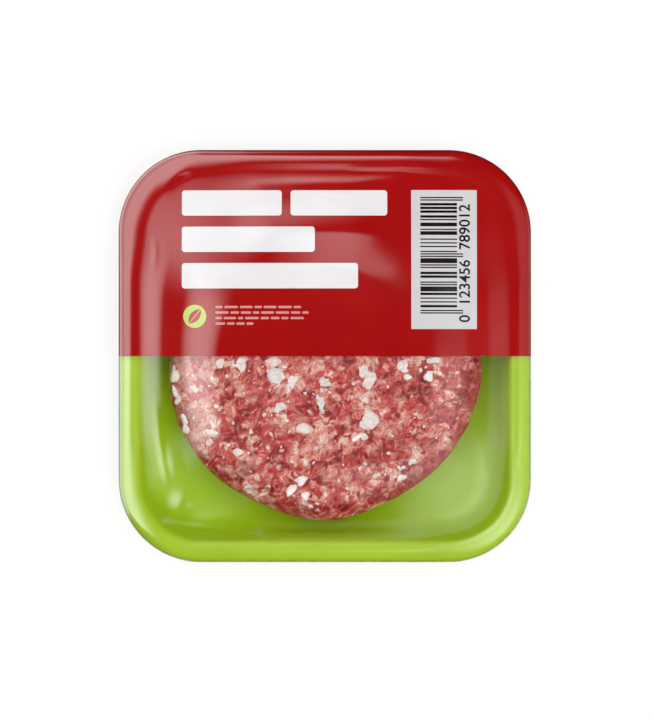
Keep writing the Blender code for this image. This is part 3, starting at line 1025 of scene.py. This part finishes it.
# %% Divide the film
def film_half(name, keep_back):
    """One half of the film, cut straight across the pack and given its thickness."""
    piece = mesh_object(name, film_points, film_faces)
    skin = bmesh.new()
    skin.from_mesh(piece.data)
    bmesh.ops.bisect_plane(
        skin,
        geom=skin.verts[:] + skin.edges[:] + skin.faces[:],
        plane_co=(0, 0, 0),
        plane_no=(0, 1, 0),
        dist=0.01 * MM,
        clear_inner=keep_back,
        clear_outer=not keep_back,
    )
    skin.to_mesh(piece.data)
    skin.free()
    wall = piece.modifiers.new("Thickness", "SOLIDIFY")
    wall.thickness = FILM_THICKNESS
    wall.offset = -1
    settle(piece)
    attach(piece, "root")
    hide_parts("film")
    return piece


printed_film = film_half("film_printed", True)
clear_film = film_half("film_clear", False)

# %% [markdown]
# ## Clear film and red print
#
# Clear film is mostly nothing: light goes straight through, and a few percent is mirrored,
# more at a glancing angle. A mix of Transparent and Glossy says exactly that, and unlike
# real refraction it lets the lamps through to the meat. The printed half is ordinary red
# ink under the same film, so it is a Principled shader with a coat on top.

# %% Film materials
clear_material, tree, surface = new_material("clear_film")
tree.nodes.remove(surface)
tilt = add_node(tree, "LayerWeight", Blend=0.5).outputs["Facing"]
glancing = add_node(tree, "Math", {"operation": "POWER"})
tree.links.new(tilt, glancing.inputs[0])
glancing.inputs[1].default_value = 4.0
mirrored = add_node(tree, "Math", {"operation": "MULTIPLY_ADD"})
tree.links.new(glancing.outputs[0], mirrored.inputs[0])
mirrored.inputs[1].default_value = 0.75
mirrored.inputs[2].default_value = 0.09
back = add_node(tree, "NewGeometry").outputs["Backfacing"]
outside = add_node(tree, "Math", {"operation": "SUBTRACT"})
outside.inputs[0].default_value = 1.0
tree.links.new(back, outside.inputs[1])
share = add_node(tree, "Math", {"operation": "MULTIPLY"})
tree.links.new(mirrored.outputs[0], share.inputs[0])
tree.links.new(outside.outputs[0], share.inputs[1])
see_through = add_node(tree, "BsdfTransparent", Color=(0.985, 0.99, 0.985, 1))
gloss = add_node(tree, "BsdfAnisotropic", Color=(1, 1, 1, 1), Roughness=0.09)
film_mix = add_node(tree, "MixShader")
tree.links.new(share.outputs[0], film_mix.inputs[0])
tree.links.new(see_through.outputs[0], film_mix.inputs[1])
tree.links.new(gloss.outputs[0], film_mix.inputs[2])
tree.links.new(film_mix.outputs[0], tree.nodes["Material Output"].inputs["Surface"])
clear_film.data.materials.append(clear_material)


def ink_material(name, first, second, scale=60.0):
    """Printing ink under glossy film, its colour drifting between two."""
    material, tree, surface = new_material(name)
    colour = uneven_colour(tree, first, second, scale)
    tree.links.new(colour, surface.inputs["Base Color"])
    surface.inputs["Roughness"].default_value = 0.12
    surface.inputs["Coat Weight"].default_value = 1.0
    surface.inputs["Coat Roughness"].default_value = 0.08
    return material


red_ink = ink_material("red_ink", linear(153, 4, 4), linear(159, 6, 6))
printed_film.data.materials.append(red_ink)

# %% [markdown]
# ## Laying print on the film
#
# Ink has no thickness to speak of, but a separate thin piece for each shape keeps its edges
# crisp and lets each have a colour of its own. A shape is drawn flat, cut into small squares
# so that it can bend, and every point is then dropped onto the film and lifted by a hair.
# A Shrinkwrap modifier would do this too. A ray from above is the same idea in one line.

# %% Helper for printed shapes
INK_LIFT = 0.04 * MM
SECOND_INK_LIFT = 0.08 * MM
INK_THICKNESS = 0.02 * MM
BEND_STEP = 1.2 * MM

film_top = BVHTree.FromObject(printed_film, bpy.context.evaluated_depsgraph_get())


def film_height(x, y):
    """The film's height at this place, found by a ray from above."""
    return film_top.ray_cast(Vector((x, y, 2 * TOP_HEIGHT)), Vector((0, 0, -1)))[0].z


def lay_on_film(name, flat, lift, material):
    """Bend flat shapes onto the film, a hair above it, and give them a thickness."""
    for axis in (0, 1):
        places = [vertex.co[axis] for vertex in flat.verts]
        across = Vector((1, 0, 0)) if axis == 0 else Vector((0, 1, 0))
        for cut in np.arange(min(places) + BEND_STEP, max(places), BEND_STEP):
            bmesh.ops.bisect_plane(
                flat,
                geom=flat.verts[:] + flat.edges[:] + flat.faces[:],
                plane_co=across * cut,
                plane_no=across,
                dist=0.001 * MM,
            )
    for vertex in flat.verts:
        vertex.co.z = film_height(vertex.co.x, vertex.co.y) + lift
    bmesh.ops.recalc_face_normals(flat, faces=flat.faces)
    for face in flat.faces:
        if face.normal.z < 0:
            face.normal_flip()
    mesh = bpy.data.meshes.new(name)
    flat.to_mesh(mesh)
    flat.free()
    mesh.shade_smooth()
    piece = bpy.data.objects.new(name, mesh)
    bpy.context.scene.collection.objects.link(piece)
    mesh.materials.append(material)
    ink = piece.modifiers.new("Ink", "SOLIDIFY")
    ink.thickness = INK_THICKNESS
    ink.offset = 1
    settle(piece)
    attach(piece, "root")
    print(name + ":", len(piece.data.polygons), "faces")
    return piece


def add_bar(flat, left, low, right, high, rounding=0.0):
    """Add a bar between these edges, with round corners if a rounding is given."""
    outline = []
    for corner, (x, y) in enumerate([(right, high), (left, high), (left, low), (right, low)]):
        inward_x = -1 if x == right else 1
        inward_y = -1 if y == high else 1
        steps = 7 if rounding > 0 else 1
        for turn in np.radians(np.linspace(0, 90, steps) + 90 * corner):
            outline.append(
                (
                    x + inward_x * rounding + rounding * math.cos(turn) * (rounding > 0),
                    y + inward_y * rounding + rounding * math.sin(turn) * (rounding > 0),
                    0,
                )
            )
    flat.faces.new([flat.verts.new(point) for point in outline])


# %% [markdown]
# ## Headline and small print
#
# The label has a headline in heavy white type with a few lines of small print under it. No
# words are set here. White bars of a headline's height and length stand for its lines, and
# rows of short dashes stand for the small print, as in a designer's layout.

# %% Headline bars and small print
HEADLINE_HEIGHT = 9.2 * MM
HEADLINE_LOW = (50.9 * MM, 37.7 * MM, 24.5 * MM)
HEADLINE_ENDS = (
    ((-51.8 * MM, -15.6 * MM), (-12.4 * MM, 22.6 * MM)),
    ((-51.8 * MM, -3.6 * MM),),
    ((-51.8 * MM, 12.0 * MM),),
)
SMALL_PRINT_LEFT = -39.6 * MM
SMALL_PRINT_RIGHT = (-8.4 * MM, -5.8 * MM, -7.6 * MM, -25.8 * MM)
SMALL_PRINT_TOP = 18.2 * MM
SMALL_PRINT_PITCH = 2.0 * MM
SMALL_PRINT_HEIGHT = 0.85 * MM

white_ink = ink_material("white_ink", linear(222, 219, 220), linear(227, 224, 225))
flat = bmesh.new()
for low, words in zip(HEADLINE_LOW, HEADLINE_ENDS):
    for left, right in words:
        add_bar(flat, left, low, right, low + HEADLINE_HEIGHT, rounding=1.1 * MM)
lay_on_film("headline_bars", flat, INK_LIFT, white_ink)

small_ink = ink_material("small_print_ink", linear(198, 134, 130), linear(206, 146, 142))
rng = np.random.default_rng(91)
flat = bmesh.new()
for line, right in enumerate(SMALL_PRINT_RIGHT):
    top = SMALL_PRINT_TOP - line * SMALL_PRINT_PITCH
    left = SMALL_PRINT_LEFT
    while left < right:
        end = min(left + rng.uniform(1.6, 5.2) * MM, right)
        add_bar(flat, left, top - SMALL_PRINT_HEIGHT, end, top, rounding=0.3 * MM)
        left = end + 0.7 * MM
        if right - left < 1.0 * MM:
            break
lay_on_film("small_print_dashes", flat, INK_LIFT, small_ink)

# %% [markdown]
# ## The badge
#
# A round lime badge stands beside the small print. Its sign is a plain leaf: two arcs that
# meet in a point, drawn as one closed outline, with a bar for the midrib left open.

# %% Badge
BADGE_X = -47.1 * MM
BADGE_Y = 14.4 * MM
BADGE_RADIUS = 4.2 * MM
LEAF_LENGTH = 6.6 * MM
LEAF_WIDTH = 1.6 * MM
LEAF_TURN = math.radians(50)

badge_ink = ink_material("lime_ink", linear(178, 198, 84), linear(186, 205, 92))
leaf_ink = ink_material("leaf_ink", linear(158, 30, 24), linear(166, 36, 28))
flat = bmesh.new()
round_edge = np.radians(np.arange(0, 360, 7.5))
flat.faces.new(
    [
        flat.verts.new(
            (BADGE_X + BADGE_RADIUS * math.cos(t), BADGE_Y + BADGE_RADIUS * math.sin(t), 0)
        )
        for t in round_edge
    ]
)
lay_on_film("badge_disc", flat, INK_LIFT, badge_ink)

flat = bmesh.new()
along = np.linspace(-0.5, 0.5, 13)
for side in (-1, 1):
    belly = side * (0.16 * MM + LEAF_WIDTH * np.cos(along * math.pi) ** 0.8)
    inner = np.full(13, side * 0.14 * MM)
    outline = list(zip(along * LEAF_LENGTH, belly)) + list(zip(along * LEAF_LENGTH, inner))[::-1]
    points = []
    for a, b in outline:
        x = BADGE_X + a * math.cos(LEAF_TURN) - b * math.sin(LEAF_TURN)
        y = BADGE_Y + a * math.sin(LEAF_TURN) + b * math.cos(LEAF_TURN)
        points.append(flat.verts.new((x, y, 0)))
    flat.faces.new(points)
lay_on_film("badge_leaf", flat, SECOND_INK_LIFT, leaf_ink)

# %% [markdown]
# ## The bar code
#
# A retail bar code follows a rule, so it can be worked out instead of drawn. Every digit is
# four stripes, bar and gap in turn, whose widths add up to seven units. The right half has
# bars where the left half has gaps. Pairs of thin guard bars, a little longer, mark both
# ends and the middle. The digits here just count up, and they stand beside the bars, turned
# to be read from the pack's side.

# %% Bar code
PANEL_LEFT, PANEL_RIGHT = 31.3 * MM, 55.1 * MM
PANEL_LOW, PANEL_HIGH = 9.8 * MM, 60.2 * MM
BARS_LEFT, BARS_RIGHT, GUARD_RIGHT = 34.6 * MM, 47.9 * MM, 50.1 * MM
BARS_LOW, BARS_HIGH = 15.4 * MM, 57.7 * MM
DIGIT_STRIPES = ("3211", "2221", "2122", "1411", "1132", "1231", "1114", "1312", "1213", "3112")
CODE_DIGITS = "123456789012"
GUARD_UNITS = "111"
MIDDLE_UNITS = "11111"

panel_ink = ink_material("panel_ink", linear(198, 195, 197), linear(203, 200, 202))
black_ink = ink_material("black_ink", linear(24, 20, 24), linear(30, 26, 30))
flat = bmesh.new()
add_bar(flat, PANEL_LEFT, PANEL_LOW, PANEL_RIGHT, PANEL_HIGH)
lay_on_film("bar_code_panel", flat, INK_LIFT, panel_ink)


def code_stripes():
    """Every stripe of the code in order: its width in units, and whether it is a guard."""
    stripes = [(int(width), True) for width in GUARD_UNITS]
    for place, digit in enumerate(CODE_DIGITS):
        if place == len(CODE_DIGITS) // 2:
            stripes += [(int(width), True) for width in MIDDLE_UNITS]
        stripes += [(int(width), False) for width in DIGIT_STRIPES[int(digit)]]
    return stripes + [(int(width), True) for width in GUARD_UNITS]


stripes = code_stripes()
unit = (BARS_HIGH - BARS_LOW) / sum(width for width, _ in stripes)
flat = bmesh.new()
low = BARS_LOW
is_bar = True
for width, is_guard in stripes:
    high = low + width * unit
    if is_bar:
        add_bar(flat, BARS_LEFT, low, GUARD_RIGHT if is_guard else BARS_RIGHT, high)
    low = high
    is_bar = not is_bar
lay_on_film("bar_code_bars", flat, SECOND_INK_LIFT, black_ink)
print("bar code:", len(stripes), "stripes,", round(unit / MM, 3), "mm to a unit")

# %% [markdown]
# The digits come from Blender's own font. A text object is turned into a mesh, and from
# there it is one more flat shape that is laid on the film.

# %% Digits of the bar code
DIGIT_SIZE = 5.5 * MM
DIGIT_BOLDNESS = 0.07 * MM
DIGITS_BASELINE = 52.5 * MM
DIGIT_GROUPS = (("0", 12.2 * MM), ("123456", 18.3 * MM), ("789012", 38.5 * MM))
GROUP_LENGTH = 16.5 * MM


def add_digits(flat, digits, start):
    """Add a row of digits that starts at this height on the label and reads upward."""
    text = bpy.data.curves.new("digits", "FONT")
    text.body = digits
    text.size = DIGIT_SIZE
    text.offset = DIGIT_BOLDNESS
    writing = bpy.data.objects.new("digits", text)
    bpy.context.scene.collection.objects.link(writing)
    shape = bpy.data.meshes.new_from_object(
        writing.evaluated_get(bpy.context.evaluated_depsgraph_get())
    )
    width = max(vertex.co.x for vertex in shape.vertices)
    spread = GROUP_LENGTH / width if len(digits) > 1 else 1.0
    for vertex in shape.vertices:
        vertex.co = (DIGITS_BASELINE - vertex.co.y, start + vertex.co.x * spread, 0)
    flat.from_mesh(shape)
    bpy.data.objects.remove(writing)
    bpy.data.curves.remove(text)
    bpy.data.meshes.remove(shape)


flat = bmesh.new()
for digits, start in DIGIT_GROUPS:
    add_digits(flat, digits, start)
lay_on_film("bar_code_digits", flat, SECOND_INK_LIFT, black_ink)

# %% [markdown]
# ## The floor
#
# The pack lies on a pale table that goes on past the picture's edges. Reflections don't see
# it, because a table this bright would wash out the film's rolled edge.

# %% Floor
bpy.ops.mesh.primitive_plane_add(size=6, location=(0, 0, -0.1 * MM))
floor = bpy.context.object
floor.name = "pale_floor"
floor_material, tree, surface = new_material("pale_floor")
tree.links.new(
    uneven_colour(tree, (0.29, 0.29, 0.29), (0.31, 0.31, 0.31), 3.0),
    surface.inputs["Base Color"],
)
surface.inputs["Roughness"].default_value = 0.9
surface.inputs["Emission Color"].default_value = (1, 1, 1, 1)
surface.inputs["Emission Strength"].default_value = 0.70
floor.data.materials.append(floor_material)
floor.visible_glossy = False
